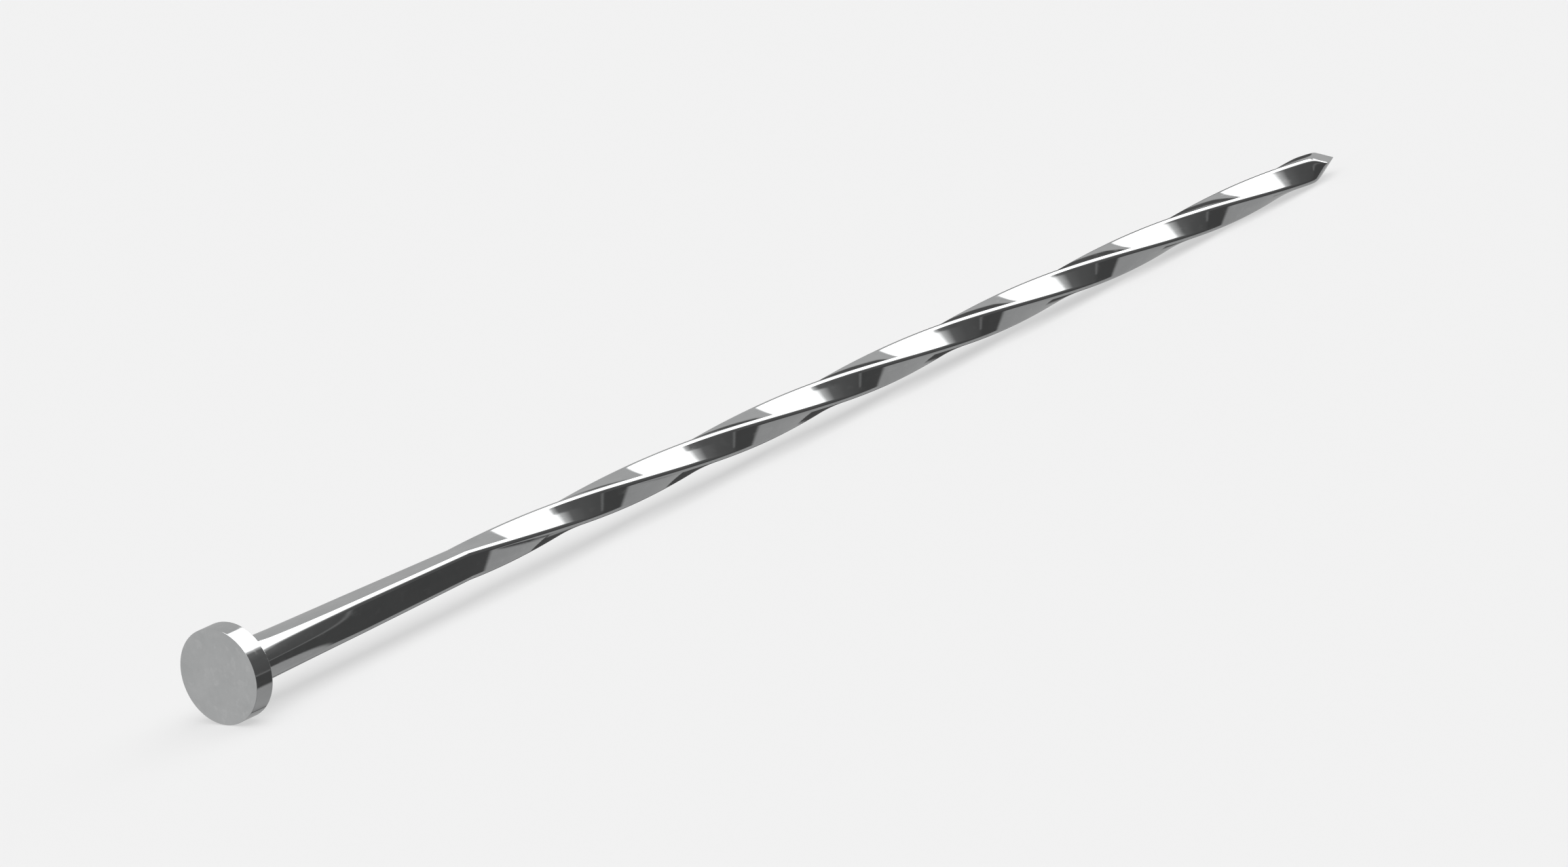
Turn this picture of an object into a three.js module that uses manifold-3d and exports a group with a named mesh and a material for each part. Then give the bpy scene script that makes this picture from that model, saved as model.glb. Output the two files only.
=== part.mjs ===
import * as THREE from 'three';
import Module from 'manifold-3d';

// Driving dimensions, in millimetres. +X runs from the striking face to the point, +Z is up.
const LENGTH = 152;            // striking face to the end of the point
const HEAD_DIAMETER = 7.5;
const HEAD_THICKNESS = 1.85;
const HEAD_EDGE = 0.12;        // rounding on both rims of the head
const NECK_DIAMETER = 3.75;    // round wire just under the head
const NECK_FILLET = 0.2;       // where the neck meets the underside of the head
const NECK_LENGTH = 13.5;      // over which the round wire becomes a square bar
const PLAIN_LENGTH = 12.65;    // straight square bar between the neck and the twist
const SQUARE_AT_NECK = 2.71;   // across the flats where the square bar begins
const SQUARE = 2.35;           // across the flats where the twist begins, and from there on
const CORNER_RADIUS = 0.4;     // rounding of the bar's four long corners
const PITCH = 68.4;            // one full right-hand turn of the twist
const POINT_LENGTH = 4.65;     // over which a facet of the point falls from the corners' circle to the axis
const POINT_TURN_DEG = -18;    // how far the facets are turned from the bar's corners, halfway along the point
const POINT_BLUNT = 0.08;      // length taken off the sharp tip

// Mesh resolution.
const HEAD_SIDES = 48;
const CORNER_STEPS = 3;
const FLAT_STEPS = 3;
const TWIST_STEP_DEG = 9;
const ROUNDING_STEPS = 3;      // round the head's rims and the neck fillet
const NECK_RINGS = 8;          // between the neck fillet and the square bar
const OVERRUN = 1;             // how far the bar runs past the tip before the point is cut

// Derived stations along the nail, and the outline's shares of the size across the flats.
const NECK_END = HEAD_THICKNESS + NECK_LENGTH;
const TWIST_START = NECK_END + PLAIN_LENGTH;
const CORNER = CORNER_RADIUS / SQUARE;
const CORNER_REACH = SQUARE * ((0.5 - CORNER) * Math.SQRT2 + CORNER);

const wasm = await Module();
wasm.setup();
const { Manifold, Mesh } = wasm;

// A closed body from rings of [x, y, z] points, all with the same count, capped by a fan at each end.
function loft(rings) {
  const count = rings[0].length;
  const points = rings.flat();
  const triangles = [];
  for (let r = 0; r < rings.length - 1; r += 1) {
    for (let i = 0; i < count; i += 1) {
      const a = r * count + i;
      const b = r * count + ((i + 1) % count);
      triangles.push([a, b, b + count], [a, b + count, a + count]);
    }
  }
  const first = points.length;
  points.push([rings[0][0][0], 0, 0]);
  const last = points.length;
  points.push([rings[rings.length - 1][0][0], 0, 0]);
  const base = (rings.length - 1) * count;
  for (let i = 0; i < count; i += 1) {
    const next = (i + 1) % count;
    triangles.push([first, next, i], [last, base + i, base + next]);
  }
  const mesh = new Mesh({
    numProp: 3,
    vertProperties: new Float32Array(points.flat()),
    triVerts: new Uint32Array(triangles.map(([a, b, c]) => [a, c, b]).flat()),
  });
  const body = new Manifold(mesh);
  if (body.volume() > 0) return body;
  mesh.triVerts = new Uint32Array(triangles.flat());
  return new Manifold(mesh);
}

function circleRing(x, radius, sides) {
  return Array.from({ length: sides }, (_, i) => {
    const angle = (2 * Math.PI * i) / sides;
    return [x, radius * Math.cos(angle), radius * Math.sin(angle)];
  });
}

// One side of the unit square bar: a rounded corner, then the flat up to the next corner.
function unitSide() {
  const reach = 0.5 - CORNER;
  const side = [];
  for (let j = 0; j <= CORNER_STEPS; j += 1) {
    const angle = ((j / CORNER_STEPS) * Math.PI) / 2;
    side.push([reach + CORNER * Math.cos(angle), reach + CORNER * Math.sin(angle)]);
  }
  for (let j = 1; j < FLAT_STEPS; j += 1) {
    side.push([reach - (2 * reach * j) / FLAT_STEPS, 0.5]);
  }
  return side;
}

// Outline of a square bar with rounded corners, one unit across the flats.
function unitSquare() {
  const quarterTurn = ([y, z]) => [-z, y];
  const sides = [unitSide()];
  for (let k = 1; k < 4; k += 1) sides.push(sides[k - 1].map(quarterTurn));
  return sides.flat();
}

// Head: a short cylinder whose two rims are rounded.
function head() {
  const radius = HEAD_DIAMETER / 2;
  const rings = [];
  for (let i = 0; i <= ROUNDING_STEPS; i += 1) {
    const angle = (i / ROUNDING_STEPS) * (Math.PI / 2);
    const x = HEAD_EDGE * (1 - Math.sin(angle));
    const r = radius - HEAD_EDGE * (1 - Math.cos(angle));
    rings.unshift([x, r]);
  }
  const back = rings.map(([x, r]) => [HEAD_THICKNESS - x, r]).reverse();
  return loft([...rings, ...back].map(([x, r]) => circleRing(x, r, HEAD_SIDES)));
}

// One ring of the shank: circle under the head, then square, then twisted square.
function shankRing(x, outline) {
  const toSquare = Math.min(Math.max((x - HEAD_THICKNESS) / NECK_LENGTH, 0), 1);
  const taper = Math.min(Math.max((x - NECK_END) / PLAIN_LENGTH, 0), 1);
  const size = SQUARE_AT_NECK + (SQUARE - SQUARE_AT_NECK) * taper;
  const turn = (2 * Math.PI * Math.max(x - TWIST_START, 0)) / PITCH;
  const gap = Math.max(NECK_FILLET - Math.max(x - HEAD_THICKNESS, 0), 0);
  const flare = NECK_FILLET - Math.sqrt(NECK_FILLET ** 2 - gap ** 2);
  return outline.map(([y, z]) => {
    const radius = Math.hypot(y, z);
    const round = NECK_DIAMETER / 2 / radius;
    const scale = round + (size - round) * toSquare + flare / radius;
    const a = y * scale;
    const b = z * scale;
    return [x, a * Math.cos(turn) - b * Math.sin(turn), a * Math.sin(turn) + b * Math.cos(turn)];
  });
}

// Neck and shank as one bar, which starts inside the head so that the two join.
function shank() {
  const stations = [HEAD_THICKNESS / 2];
  for (let i = 0; i <= ROUNDING_STEPS; i += 1) {
    const angle = (i / ROUNDING_STEPS) * (Math.PI / 2);
    stations.push(HEAD_THICKNESS + NECK_FILLET * (1 - Math.cos(angle)));
  }
  const neckStep = (NECK_LENGTH - NECK_FILLET) / NECK_RINGS;
  for (let i = 1; i <= NECK_RINGS; i += 1) stations.push(HEAD_THICKNESS + NECK_FILLET + i * neckStep);
  stations.push(TWIST_START);
  const twisted = LENGTH + OVERRUN - TWIST_START;
  const steps = Math.ceil(twisted / ((PITCH * TWIST_STEP_DEG) / 360));
  for (let i = 1; i <= steps; i += 1) stations.push(TWIST_START + (i * twisted) / steps);
  const outline = unitSquare();
  return loft(stations.map((x) => shankRing(x, outline)));
}

// The point: four planes that cut the corners of the bar and meet on its axis, and a tiny blunt end.
function cutPoint(body) {
  const twist = (2 * Math.PI * (LENGTH - POINT_LENGTH / 2 - TWIST_START)) / PITCH;
  const turn = twist + (POINT_TURN_DEG * Math.PI) / 180;
  const apex = LENGTH + POINT_BLUNT;
  const slope = Math.atan2(CORNER_REACH, POINT_LENGTH);
  let result = body;
  for (let k = 0; k < 4; k += 1) {
    const angle = Math.PI / 4 + (k * Math.PI) / 2 + turn;
    const nx = -Math.sin(slope);
    const ny = -Math.cos(slope) * Math.cos(angle);
    const nz = -Math.cos(slope) * Math.sin(angle);
    result = result.trimByPlane([nx, ny, nz], nx * apex);
  }
  return result.trimByPlane([-1, 0, 0], -LENGTH);
}

function toGeometry(body) {
  const mesh = body.getMesh();
  const geometry = new THREE.BufferGeometry();
  const positions = Array.from(mesh.vertProperties);
  geometry.setAttribute('position', new THREE.Float32BufferAttribute(positions, mesh.numProp));
  geometry.setIndex(Array.from(mesh.triVerts));
  geometry.computeVertexNormals();
  return geometry;
}

const steel = new THREE.MeshStandardMaterial({ color: 0xb9bcc0, metalness: 1.0, roughness: 0.2 });
steel.name = 'bright_steel';

const nail = new THREE.Mesh(toGeometry(cutPoint(head().add(shank()))), steel);
nail.name = 'nail';

const part = new THREE.Group();
part.name = 'spiral_shank_nail';
part.add(nail);

export default part;
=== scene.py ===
# %% [markdown]
# # A spiral shank nail
# This lesson builds one steel nail in Blender: a flat round head, a round neck that turns square, a square
# shank twisted to the right, and a four-sided point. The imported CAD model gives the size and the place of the
# piece. Blender then makes the fine surface that the CAD solid leaves out.

# %% Load the frame
import bmesh
import bpy
import math
from mathutils import Matrix, Vector


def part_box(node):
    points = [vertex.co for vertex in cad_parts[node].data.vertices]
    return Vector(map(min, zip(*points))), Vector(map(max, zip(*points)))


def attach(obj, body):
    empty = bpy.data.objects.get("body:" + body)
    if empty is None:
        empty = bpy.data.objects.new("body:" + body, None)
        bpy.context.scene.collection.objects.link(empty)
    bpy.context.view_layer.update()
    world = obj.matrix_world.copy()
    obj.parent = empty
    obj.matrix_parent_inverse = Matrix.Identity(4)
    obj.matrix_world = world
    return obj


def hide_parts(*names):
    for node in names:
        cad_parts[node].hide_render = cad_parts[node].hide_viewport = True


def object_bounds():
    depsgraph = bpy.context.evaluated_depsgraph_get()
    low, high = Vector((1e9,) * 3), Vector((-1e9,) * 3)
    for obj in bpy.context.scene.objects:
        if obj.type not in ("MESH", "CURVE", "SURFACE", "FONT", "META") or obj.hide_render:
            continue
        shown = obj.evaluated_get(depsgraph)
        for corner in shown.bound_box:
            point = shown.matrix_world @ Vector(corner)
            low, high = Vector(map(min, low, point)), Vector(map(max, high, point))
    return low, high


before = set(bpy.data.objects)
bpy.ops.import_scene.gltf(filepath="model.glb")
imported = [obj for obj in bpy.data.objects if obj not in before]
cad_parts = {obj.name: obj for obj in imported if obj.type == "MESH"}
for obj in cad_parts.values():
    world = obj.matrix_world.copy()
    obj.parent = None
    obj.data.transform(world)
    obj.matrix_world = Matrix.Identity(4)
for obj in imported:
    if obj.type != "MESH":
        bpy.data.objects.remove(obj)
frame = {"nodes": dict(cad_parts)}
cad_low, cad_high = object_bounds()
MM = 0.001
print("CAD nodes:", ", ".join(frame["nodes"]))
print("CAD box, mm:", [round(v / MM, 2) for v in (*cad_low, *cad_high)])

# %% [markdown]
# ## The camera
# The nail lies along X with its head at the origin. The camera stands at the head end, on the nail's front
# side, a little above it, and is rolled so that the nail climbs across the picture. A long lens keeps the
# perspective gentle. The camera's place and two of its axes are written out, because a rolled view has no
# simple target.

# %% Place the camera
CAMERA_PLACE = Vector((-0.36325, -0.35629, 0.13757))
CAMERA_RIGHT = Vector((0.59949, -0.78626, -0.14968))
CAMERA_UP = Vector((0.28185, 0.03235, 0.95891))
LENS_MM, SENSOR_MM = 163.2, 36.0
NEAREST, FARTHEST = 0.01, 20.0
lens = bpy.data.cameras.new("camera")
lens.sensor_width, lens.lens = SENSOR_MM, LENS_MM
lens.clip_start, lens.clip_end = NEAREST, FARTHEST
camera = bpy.data.objects.new("camera", lens)
bpy.context.scene.collection.objects.link(camera)
backward = CAMERA_RIGHT.cross(CAMERA_UP).normalized()
turn = Matrix((CAMERA_RIGHT.normalized(), backward.cross(CAMERA_RIGHT).normalized(), backward)).transposed()
camera.matrix_world = Matrix.Translation(CAMERA_PLACE) @ turn.to_4x4()
bpy.context.scene.camera = camera
print("camera is", round(CAMERA_PLACE.length / MM), "mm from the head")

# %% [markdown]
# ## Node trees as Python expressions
# The shape, the steel and the studio are all node trees. Wiring nodes one by one hides the formula they stand
# for, so one small class wraps a socket and lets Python's own operators add the Math nodes. The same class
# serves geometry trees and shader trees, because both have the same Math node. One function adds every other
# node.

# %% A socket with arithmetic
class Wire:
    """One output socket, or a plain number, with arithmetic."""

    def __init__(self, tree, socket):
        self.tree, self.socket = tree, socket

    def math(self, operation, *others, clamp=False):
        node = self.tree.nodes.new("ShaderNodeMath")
        node.operation, node.use_clamp = operation, clamp
        for slot, value in zip(node.inputs, (self, *others)):
            connect(self.tree, value, slot)
        return Wire(self.tree, node.outputs[0])

    def __add__(self, other):
        return self.math("ADD", other)

    def __mul__(self, other):
        return self.math("MULTIPLY", other)

    def __sub__(self, other):
        return self.math("SUBTRACT", other)

    def __truediv__(self, other):
        return self.math("DIVIDE", other)

    def __pow__(self, other):
        return self.math("POWER", other)

    def __neg__(self):
        return self * -1.0

    def __rsub__(self, other):
        return Wire(self.tree, other).math("SUBTRACT", self)

    def __rtruediv__(self, other):
        return Wire(self.tree, other).math("DIVIDE", self)

    __radd__, __rmul__ = __add__, __mul__

    def clamp(self):
        """The value kept between 0 and 1."""
        return self.math("ADD", 0.0, clamp=True)

    def within(self, low, high):
        """The value kept between low and high."""
        return self.math("MINIMUM", high).math("MAXIMUM", low)


print("a Wire knows + - * / and **")

# %% Connecting values, and adding any other node
def connect(tree, value, slot):
    """Puts a number or a vector on an input socket, or links a wire to it."""
    if isinstance(value, Wire):
        value = value.socket
    if isinstance(value, bpy.types.NodeSocket):
        tree.links.new(value, slot)
    else:
        slot.default_value = value


def add_node(tree, kind, settings=None, in_order=(), **sockets):
    """Adds a node: its settings, then its sockets, either in order or by name with _ for a space."""
    node = tree.nodes.new(kind)
    for name, value in (settings or {}).items():
        setattr(node, name, value)
    for slot, value in zip(node.inputs, in_order):
        connect(tree, value, slot)
    for name, value in sockets.items():
        slots = [s for s in node.inputs if s.name.replace(" ", "_") == name and s.enabled]
        connect(tree, value, slots[0])
    return node


def result(node):
    """The output that a node's settings leave in use."""
    return next(s for s in node.outputs if s.enabled)


print("helpers ready: connect, add_node, result")

# %% [markdown]
# ## The nail's sizes
# The nail is one length of wire, so it has few sizes. They repeat the CAD model's sizes, in millimetres. The
# overall length and the head's diameter come from the CAD box, so the fine surface can't outgrow it. Only the
# rounding on the striking face's edge is Blender's own: a cold-headed face meets its rim in a crisper edge
# than the CAD rounding.

# %% Sizes along the nail, in millimetres
nail_low, nail_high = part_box("nail")
LENGTH = nail_high.x / MM
HEAD_DIAMETER = (nail_high.z - nail_low.z) / MM
HEAD_THICKNESS = 1.85
HEAD_EDGE = 0.12
FACE_EDGE = 0.025
NECK_DIAMETER = 3.75
NECK_FILLET = 0.2
NECK_LENGTH = 13.5
PLAIN_LENGTH = 12.65
SQUARE_AT_NECK = 2.71
SQUARE = 2.35
CORNER_RADIUS = 0.4
PITCH = 68.4
POINT_LENGTH = 4.65
POINT_TURN = math.radians(-18.0)
POINT_BLUNT = 0.08
NECK_END = HEAD_THICKNESS + NECK_LENGTH
TWIST_START = NECK_END + PLAIN_LENGTH
POINT_START = LENGTH - POINT_LENGTH
print("length and head, mm:", round(LENGTH, 2), round(HEAD_DIAMETER, 2))

# %% [markdown]
# ## The outline
# The nail is shaped here like a turned part that is then squared and twisted. So its outline comes first: a
# line of stations, each with a place along the nail and a radius. Close stations keep an edge crisp where the
# shape turns: at the head's two rims, in the fillet under the head and along the point. A third number closes
# the tip: it is 0 at the last station, where the outline shrinks to the axis, and 1 elsewhere.

# %% Stations for the head
RIM_STEPS, FILLET_STEPS = 6, 8
LIP = 0.02
FACE_SHARES = (0.0, 0.4, 0.8)


def rounded_edge(x, radius, start_degrees, end_degrees, size, steps):
    """Stations round a quarter circle whose centre is at x and radius."""
    stations = []
    for i in range(steps + 1):
        angle = math.radians(start_degrees + (end_degrees - start_degrees) * i / steps)
        stations.append((x + size * math.cos(angle), radius + size * math.sin(angle), 1.0))
    return stations


def head_stations():
    """From the middle of the striking face, over the rim and under the head, to the top of the neck."""
    rim, neck = HEAD_DIAMETER / 2, NECK_DIAMETER / 2
    front, back, fillet = FACE_EDGE, HEAD_EDGE, NECK_FILLET
    face = [(0.0, rim * share, 1.0) for share in FACE_SHARES]
    face.append((0.0, rim - front - LIP, 1.0))
    front_edge = rounded_edge(front, rim - front, 180, 90, front, RIM_STEPS)
    side = [(front + LIP, rim, 1.0), (HEAD_THICKNESS - back - LIP, rim, 1.0)]
    back_edge = rounded_edge(HEAD_THICKNESS - back, rim - back, 90, 0, back, RIM_STEPS)
    under_radii = (rim - back - LIP, (rim + neck) / 2, neck + fillet + LIP)
    under = [(HEAD_THICKNESS, radius, 1.0) for radius in under_radii]
    hollow = rounded_edge(HEAD_THICKNESS + fillet, neck + fillet, 180, 270, fillet, FILLET_STEPS)
    return face + front_edge + side + back_edge + under + hollow


print("head stations:", len(head_stations()))

# %% Stations for the shank and the point
CREASE = 0.25
STRETCHES = (  # where each stretch of the shank ends, and how far apart its stations are
    (NECK_END - CREASE, 0.45),
    (NECK_END + CREASE / 2, CREASE / 2),
    (TWIST_START - CREASE, 0.6),
    (TWIST_START + CREASE / 2, CREASE / 2),
    (POINT_START - 0.4, 0.55),
    (LENGTH - 1.6, 0.035),
    (LENGTH - 0.2, 0.07),
    (LENGTH, 0.02),
)


def spread(start, end, spacing):
    """Evenly spaced places after start, up to and including end."""
    count = max(1, round((end - start) / spacing))
    return [start + (end - start) * i / count for i in range(1, count + 1)]


def shank_stations():
    places = []
    start = HEAD_THICKNESS + NECK_FILLET
    for end, spacing in STRETCHES:
        places += spread(start, end, spacing)
        start = end
    return [(x, NECK_DIAMETER / 2, 1.0) for x in places] + [(LENGTH, 0.0, 0.0)]


stations = head_stations() + shank_stations()
outline = bpy.data.meshes.new("nail_outline")
outline.from_pydata(stations, [], [])
blank = bpy.data.objects.new("nail_blank", outline)
bpy.context.scene.collection.objects.link(blank)
print("stations along the whole nail:", len(stations))

# %% [markdown]
# ## The rule that makes the nail
# A Geometry Nodes tree turns the stations into the solid. A grid has one row for each station and one column
# for each point round the bar. The rule then moves every point of the grid: to a circle near the head, to a
# rounded square further on, round by the twist's angle, and inwards where the point's four facets cut. A
# formula keeps each of these a single named size, which a hand-made mesh would not.

# %% Start the tree with its named sizes
SIZES = {
    "Length": LENGTH,
    "Head thickness": HEAD_THICKNESS,
    "Neck length": NECK_LENGTH,
    "Plain length": PLAIN_LENGTH,
    "Square at neck": SQUARE_AT_NECK,
    "Square": SQUARE,
    "Corner radius": CORNER_RADIUS,
    "Pitch": PITCH,
    "Point length": POINT_LENGTH,
    "Point blunt": POINT_BLUNT,
    "Point turn": POINT_TURN,
    "Edge crispness": 14.0,
}
COLUMNS = {"Corner columns": 14, "Flat columns": 22}
rule = bpy.data.node_groups.new("twisted_nail", "GeometryNodeTree")
rule.is_modifier = True
rule.interface.new_socket("Stations", in_out="INPUT", socket_type="NodeSocketGeometry")
rule.interface.new_socket("Nail", in_out="OUTPUT", socket_type="NodeSocketGeometry")
for name in SIZES:
    rule.interface.new_socket(name, in_out="INPUT", socket_type="NodeSocketFloat")
for name in COLUMNS:
    rule.interface.new_socket(name, in_out="INPUT", socket_type="NodeSocketInt")
rule.interface.new_socket("Steel", in_out="INPUT", socket_type="NodeSocketMaterial")
start = add_node(rule, "NodeGroupInput")
given = {s.name: Wire(rule, s) for s in start.outputs if s.name}
print("named inputs:", ", ".join(given))

# %% The grid: one row for each station, one column for each point round the bar
SIDES = 4
count_rows = add_node(rule, "GeometryNodeAttributeDomainSize", {"component": "MESH"},
                      Geometry=given["Stations"])
rows = Wire(rule, count_rows.outputs["Point Count"])
side_columns = given["Corner columns"] + given["Flat columns"]
columns = side_columns * SIDES + 1.0
grid = add_node(rule, "GeometryNodeMeshGrid", Vertices_X=rows, Vertices_Y=columns)
index = Wire(rule, result(add_node(rule, "GeometryNodeInputIndex")))
row = (index / columns).math("FLOOR")
column = index - row * columns
print("grid of", len(stations), "rows and", sum(COLUMNS.values()) * SIDES + 1, "columns")

# %% Read the station of each row
place = add_node(rule, "GeometryNodeInputPosition")
sample = add_node(rule, "GeometryNodeSampleIndex", {"data_type": "FLOAT_VECTOR", "domain": "POINT"},
                  Geometry=given["Stations"], Value=result(place), Index=row)
station = add_node(rule, "ShaderNodeSeparateXYZ", Vector=result(sample))
along, radius, openness = (Wire(rule, s) for s in station.outputs)
print("each row reads its place along the nail, its radius and whether it is open")

# %% The rounded square, one unit across the flats
QUARTER, HALF, WHOLE = math.pi / 2, math.pi, math.pi * 2
side = (column / side_columns).math("FLOOR")
step = column - side * side_columns
arc = (step / given["Corner columns"]).math("MINIMUM", 1.0) * QUARTER
flat = (step - given["Corner columns"]).math("MAXIMUM", 0.0) / given["Flat columns"]
corner = given["Corner radius"] / given["Square"]
reach = 0.5 - corner
across = reach * (flat * HALF).math("COSINE") + corner * arc.math("COSINE")
outward = reach + corner * arc.math("SINE")


def turned(y, z, angle):
    """The pair y, z turned about the nail's axis."""
    c, s = angle.math("COSINE"), angle.math("SINE")
    return y * c - z * s, y * s + z * c


unit_y, unit_z = turned(across, outward, side * QUARTER)
print("one side of the square is a rounded corner, then a flat with its columns closer at both ends")

# %% Blend from round to square, then taper
neck_end = given["Head thickness"] + given["Neck length"]
twist_start = neck_end + given["Plain length"]
squareness = ((along - given["Head thickness"]) / given["Neck length"]).clamp()
taper = ((along - neck_end) / given["Plain length"]).clamp()
size = given["Square at neck"] + (given["Square"] - given["Square at neck"]) * taper
unit_radius = (unit_y * unit_y + unit_z * unit_z).math("SQRT")
scale = radius / unit_radius * (1.0 - squareness) + size * squareness
bar_y, bar_z = unit_y * scale * openness, unit_z * scale * openness
print("round at the head, square from", NECK_END, "mm")

# %% Twist to the right
turns = (along - twist_start).math("MAXIMUM", 0.0) / given["Pitch"]
shank_y, shank_z = turned(bar_y, bar_z, turns * WHOLE)
print("turns of twist:", round((LENGTH - TWIST_START) / PITCH, 2))

# %% Cut the point's four facets
crispness = given["Edge crispness"]
point_middle = given["Length"] - given["Point length"] * 0.5
point_twist = (point_middle - twist_start) / given["Pitch"] * WHOLE
facet_turn = point_twist + given["Point turn"]
facet_y, facet_z = turned(shank_y, shank_z, -(facet_turn + QUARTER / 2))
corner_reach = given["Square"] * (reach * math.sqrt(2) + corner)
room = (given["Length"] + given["Point blunt"] - along) * corner_reach / given["Point length"]
past_y = (facet_y.math("ABSOLUTE") / room) ** crispness
past_z = (facet_z.math("ABSOLUTE") / room) ** crispness
pinch = 1.0 / ((past_y + past_z + 1.0) ** (1.0 / crispness))
print("facets cut from", round(POINT_START, 2), "mm")

# %% Move the grid, and keep each point's place before the twist
solid = add_node(rule, "ShaderNodeCombineXYZ", X=along, Y=shank_y * pinch, Z=shank_z * pinch)
metres = add_node(rule, "ShaderNodeVectorMath", {"operation": "SCALE"}, Vector=result(solid), Scale=MM)
moved = add_node(rule, "GeometryNodeSetPosition", Geometry=result(grid), Position=result(metres))
drawn_wire = add_node(rule, "ShaderNodeCombineXYZ", X=along, Y=bar_y * pinch, Z=bar_z * pinch)
keep = add_node(rule, "GeometryNodeStoreNamedAttribute", {"data_type": "FLOAT_VECTOR", "domain": "POINT"},
                Geometry=result(moved), Name="untwisted", Value=result(drawn_wire))
print("stored attribute: untwisted")

# %% Close the mesh and finish the tree
SAME_PLACE = 1e-7
closed = add_node(rule, "GeometryNodeMergeByDistance", Geometry=result(keep), Distance=SAME_PLACE)
smooth = add_node(rule, "GeometryNodeSetShadeSmooth", Geometry=result(closed))
real = add_node(rule, "GeometryNodeRealizeInstances", Geometry=result(smooth))
coated = add_node(rule, "GeometryNodeSetMaterial", Geometry=result(real), Material=given["Steel"])
end = add_node(rule, "NodeGroupOutput")
connect(rule, result(coated), end.inputs[0])
print("tree has", len(rule.nodes), "nodes")

# %% [markdown]
# ## Bright drawn steel
# The wire was drawn through a die, so it carries very fine lines along its length, and they follow the twist.
# The rule stored each point's place before the twist, and the lines are drawn on that. Rolling and handling
# leave cloudier patches and small flecks, which show mostly in how sharp a reflection is. The colour of clean
# steel hardly varies, so all of these move it by a few per cent only.

# %% Patterns on the steel
steel = bpy.data.materials.new("bright_drawn_steel")
steel.use_nodes = True
tree = steel.node_tree
untwisted = add_node(tree, "ShaderNodeAttribute", {"attribute_name": "untwisted"}).outputs["Vector"]
AWAY_FROM_ORIGIN = (31.7, 17.3, 9.1)


def noise(per_mm, detail, roughness=0.5, along=1.0):
    """A noise around 0 that follows the twist. A small value of along draws it out along the nail. A noise's
    octaves line up at its origin and draw rays there, so the pattern is read away from it."""
    drawn = add_node(tree, "ShaderNodeVectorMath", {"operation": "MULTIPLY_ADD"},
                     in_order=(untwisted, (along, 1.0, 1.0), AWAY_FROM_ORIGIN))
    pattern = add_node(tree, "ShaderNodeTexNoise", Vector=result(drawn), Scale=per_mm, Detail=detail,
                       Roughness=roughness)
    return Wire(tree, result(pattern)) - 0.5


FLECK_LEVEL, FLECK_CONTRAST = 0.08, 9.0
patterns = {
    "fine_lines": noise(per_mm=9.0, detail=3.0, along=0.03),
    "wide_lines": noise(per_mm=2.2, detail=2.0, along=0.02),
    "clouds": noise(per_mm=0.45, detail=4.0, roughness=0.6),
    "speckle": noise(per_mm=14.0, detail=2.0),
    "flecks": ((noise(per_mm=1.5, detail=3.0, along=0.5) - FLECK_LEVEL) * FLECK_CONTRAST).clamp(),
}
print("patterns:", ", ".join(patterns))

# %% Roughness, colour and relief
LEAST_ROUGHNESS = 0.03
DARKER_STEEL, LIGHTER_STEEL = (0.780, 0.792, 0.795, 1.0), (0.892, 0.902, 0.904, 1.0)


def blended(mean, **weights):
    """A mean value plus each named pattern times its weight."""
    total = mean
    for name, weight in weights.items():
        total = total + patterns[name] * weight
    return total


shader = tree.nodes["Principled BSDF"]
shader.inputs["Metallic"].default_value = 1.0
roughness = blended(mean=0.065, clouds=0.08, fine_lines=0.06, flecks=0.06)
connect(tree, roughness.math("MAXIMUM", LEAST_ROUGHNESS), shader.inputs["Roughness"])
tone = blended(mean=0.4, clouds=1.6, wide_lines=0.6, flecks=0.5).clamp()
colour = add_node(tree, "ShaderNodeMix", {"data_type": "RGBA"}, Factor=tone, A=DARKER_STEEL, B=LIGHTER_STEEL)
connect(tree, result(colour), shader.inputs["Base Color"])
relief_mm = blended(mean=0.0, fine_lines=0.00025, wide_lines=0.0006, speckle=0.0001, flecks=0.0002)
bump = add_node(tree, "ShaderNodeBump", Strength=1.0, Distance=MM, Height=relief_mm)
connect(tree, result(bump), shader.inputs["Normal"])
print("steel has", len(tree.nodes), "nodes")

# %% [markdown]
# ## From rule to plain mesh
# The modifier gets its sizes by socket identifier, is evaluated once, and the result becomes a plain mesh.
# That mesh rides on the CAD body and stands in for the CAD solid, which stays in the scene, hidden.

# %% Give the rule its sizes and take the result
modifier = blank.modifiers.new("twisted nail", "NODES")
modifier.node_group = rule
VALUES = {**SIZES, **COLUMNS, "Steel": steel}
for item in rule.interface.items_tree:
    if item.in_out == "INPUT" and item.name in VALUES:
        modifier[item.identifier] = VALUES[item.name]
graph = bpy.context.evaluated_depsgraph_get()
mesh = bpy.data.meshes.new_from_object(blank.evaluated_get(graph))
bpy.data.objects.remove(blank)
mesh.name = "nail_steel"
nail = bpy.data.objects.new("nail_steel", mesh)
bpy.context.scene.collection.objects.link(nail)
print("nail:", len(mesh.vertices), "points,", len(mesh.polygons), "faces")

# %% Check that the solid is closed and faces outwards
solid_check = bmesh.new()
solid_check.from_mesh(mesh)
open_edges = sum(1 for edge in solid_check.edges if not edge.is_manifold)
volume = solid_check.calc_volume(signed=True)
if volume < 0:
    bmesh.ops.reverse_faces(solid_check, faces=solid_check.faces)
    solid_check.to_mesh(mesh)
solid_check.free()
print("open edges:", open_edges, " volume, cubic mm:", round(abs(volume) / MM ** 3, 1))

# %% Put it in the frame
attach(nail, "root")
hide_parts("nail")
print("nail rides on root")

# %% [markdown]
# ## The floor
# A nail lies on its head's rim and on the start of its point, so it doesn't lie level. The nail keeps its
# place here and the floor leans by that small angle instead. The floor is a softly lit table: it gives off
# most of its own light, so the shadow on it stays faint. Reflections don't see it, because the studio's sky
# goes on below the horizon and holds everything that the steel is meant to show.

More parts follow.
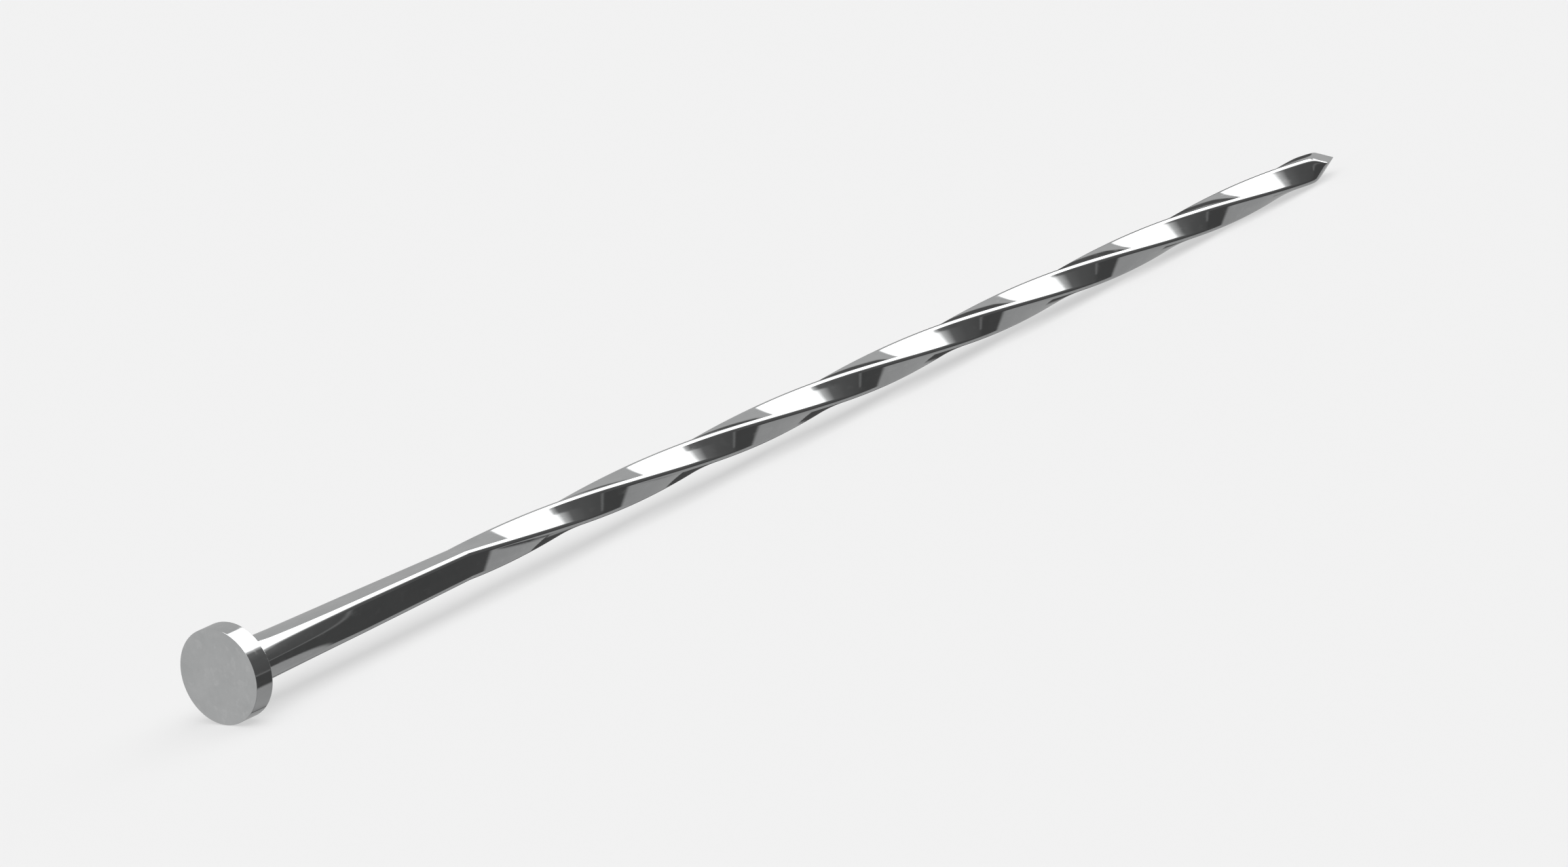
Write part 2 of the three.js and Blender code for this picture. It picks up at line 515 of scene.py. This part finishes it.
# %% Lean the floor under the nail
FLOOR_HALF = 6.0
rim_low = Vector((HEAD_THICKNESS * MM, 0.0, cad_low.z))
far_half = [v.co for v in mesh.vertices if v.co.x > cad_high.x / 2]
lean = min((co.z - rim_low.z) / (co.x - rim_low.x) for co in far_half)
square = [(FLOOR_HALF * x, FLOOR_HALF * y) for x, y in ((-1, -1), (1, -1), (1, 1), (-1, 1))]
corners = [(x, y, rim_low.z + (x - rim_low.x) * lean) for x, y in square]
floor_mesh = bpy.data.meshes.new("floor")
floor_mesh.from_pydata(corners, [], [(0, 1, 2, 3)])
floor = bpy.data.objects.new("floor", floor_mesh)
bpy.context.scene.collection.objects.link(floor)
print("floor leans", round(math.degrees(math.atan(lean)), 2), "degrees")

# %% Make it a softly lit table
PAPER = {
    "Base Color": (0.27, 0.27, 0.27, 1.0),
    "Emission Color": (1.0, 1.0, 1.0, 1.0),
    "Emission Strength": 0.55,
    "Roughness": 0.9,
    "Specular IOR Level": 0.0,
}
paper = bpy.data.materials.new("pale_paper")
paper.use_nodes = True
paper_shader = paper.node_tree.nodes["Principled BSDF"]
for name, value in PAPER.items():
    paper_shader.inputs[name].default_value = value
floor_mesh.materials.append(paper)
floor.visible_glossy = False
print("floor's own light:", PAPER["Emission Strength"])

# %% [markdown]
# ## The studio
# Polished steel has little colour of its own to show: it shows the room. A product studio puts long panels
# beside the nail, parallel to it, and here the sky is such a room, so no lamp is needed. Two angles give
# every direction in it: one goes round the nail, and one is measured from the nail's axis. The panels follow
# the first angle. One bright panel stands above and in front, a dark stretch lies below it, and soft grey
# fills the rest. The second angle makes the room less even: the bright panel's upper edge slants, its lower
# edge is crisper further from the axis, a dark gap crosses the grey panels, and on the head's side the dark
# stretch lightens to a dark grey. The camera itself sees a plain pale backdrop.

# %% Directions in the room: round the nail, and away from its axis
world = bpy.data.worlds.new("studio")
bpy.context.scene.world = world
world.use_nodes = True
sky = world.node_tree
background = sky.nodes["Background"]
direction = add_node(sky, "ShaderNodeTexCoord")
parts = add_node(sky, "ShaderNodeSeparateXYZ", Vector=direction.outputs["Generated"])
sky_x, sky_y, sky_z = (Wire(sky, s) for s in parts.outputs)
DEGREES_ROUND = 360.0
round_nail = (sky_z.math("ARCTAN2", sky_y) / WHOLE).math("WRAP", 1.0, 0.0) * DEGREES_ROUND
from_axis = sky_x.math("ARCCOSINE") * math.degrees(1.0)
print("round the nail: 0 at +Y, 90 straight up; from the axis: 0 past the point, 180 behind the head")

# %% Values that change with an angle
def steps_round(angle, stops, top):
    """A value that changes with an angle, through stops of degrees and value, from 0 to top."""
    node = add_node(sky, "ShaderNodeValToRGB", Fac=angle / DEGREES_ROUND)
    ramp = node.color_ramp
    for degrees, _ in stops[1:-1]:
        ramp.elements.new(degrees / DEGREES_ROUND)
    for stop, (_, value) in zip(ramp.elements, stops):
        stop.color = (value / top,) * 3 + (1.0,)
    return Wire(sky, result(node)) * top


def between(angle, none_at, full_at):
    """0 at none_at and beyond, 1 at full_at and beyond, and even in between."""
    return ((angle - none_at) / (full_at - none_at)).clamp()


print("helpers ready: steps_round, between")

# %% The bright panel's slanted upper edge and its crisper lower edge
SLANT, SLANT_MIDDLE, SLANT_ROOM = 0.8, 43.0, 6.0
NO_SLANT_AT, FULL_SLANT_AT = 105.0, 75.0
upper_half = between(round_nail, NO_SLANT_AT, FULL_SLANT_AT)
slant = (from_axis - SLANT_MIDDLE).within(-SLANT_ROOM, SLANT_ROOM) * SLANT * upper_half
slanted = (round_nail - slant).math("WRAP", DEGREES_ROUND, 0.0)
LOWER_EDGE, SOFTNESS, DARK_FROM = 131.0, 11.0, 170.0
SOFT_UP_TO, CRISP_FROM = 44.5, 45.5
past_edge = (slanted - LOWER_EDGE).within(0.0, SOFTNESS)
before_dark = between(slanted, DARK_FROM, DARK_FROM - SOFTNESS)
far_from_axis = between(from_axis, SOFT_UP_TO, CRISP_FROM)
panel_angle = slanted + past_edge * before_dark * far_from_axis
print("upper edge slants by", SLANT, "degrees a degree")

# %% The long panels: degrees round the nail, and brightness
BRIGHTEST = 2.2
PANELS = (
    (0.0, 0.40), (68.0, 0.40),
    (71.0, 2.2), (131.0, 2.2), (142.0, 0.50), (153.0, 0.12),
    (170.0, 0.082), (191.0, 0.070), (197.0, 0.055), (221.0, 0.055),
    (226.0, 0.285), (245.0, 0.29), (300.0, 0.32), (318.0, 0.34),
    (330.0, 0.425), (350.0, 0.425), (360.0, 0.40),
)
panels = steps_round(panel_angle, PANELS, BRIGHTEST)
print("panel stops:", len(PANELS))

# %% A thin seam of light in the dark stretch, and dark grey on the head's side
SEAM_AT, SEAM_HALF, SEAM_LIGHT = 193.8, 2.6, 0.09
NO_SEAM_UP_TO, SEAM_FROM = 36.5, 37.5
across_seam = (1.0 - (slanted - SEAM_AT).math("ABSOLUTE") / SEAM_HALF).clamp()
seam = across_seam * between(from_axis, NO_SEAM_UP_TO, SEAM_FROM)
BESIDE_HEAD, BEHIND_HEAD, HEAD_SIDE_LIGHT = 75.0, 90.0, 0.18
head_side = between(from_axis, BESIDE_HEAD, BEHIND_HEAD)
lit_panels = (panels + seam * SEAM_LIGHT).math("MAXIMUM", head_side * HEAD_SIDE_LIGHT)
print("seam at", SEAM_AT, "degrees")

# %% The dark gap: degrees round the nail, and the gap's middle in degrees from the axis
WIDEST = 90.0
GAP_MIDDLE = (
    (0.0, 39.6), (20.0, 38.2), (45.0, 35.5), (70.0, 25.0), (170.0, 25.0), (171.0, 60.0), (240.0, 52.0),
    (270.0, 50.0), (292.0, 49.3), (293.0, 42.8), (328.0, 41.8), (345.0, 41.2), (360.0, 39.6),
)
GAP_HALF, GAP_SOFT, GAP_DEPTH = 2.3, 1.2, 0.82
DARK_MIDDLE, DARK_HALF, DARK_EDGE = 170.0, 55.0, 65.0
gap_middle = steps_round(round_nail, GAP_MIDDLE, WIDEST)
gap = between((from_axis - gap_middle).math("ABSOLUTE"), GAP_HALF + GAP_SOFT, GAP_HALF)
outside_dark = between((round_nail - DARK_MIDDLE).math("ABSOLUTE"), DARK_HALF, DARK_EDGE)
studio_light = lit_panels * (1.0 - gap * outside_dark * GAP_DEPTH)
print("gap stops:", len(GAP_MIDDLE))

# %% The camera sees a plain backdrop
BACKDROP = 0.88
seen = add_node(sky, "ShaderNodeLightPath")
to_camera = Wire(sky, seen.outputs["Is Camera Ray"])
connect(sky, studio_light * (1.0 - to_camera) + to_camera * BACKDROP, background.inputs["Strength"])
background.inputs["Color"].default_value = (1.0, 1.0, 1.0, 1.0)
bpy.context.scene.view_settings.view_transform = "Standard"
print("studio has", len(sky.nodes), "nodes")
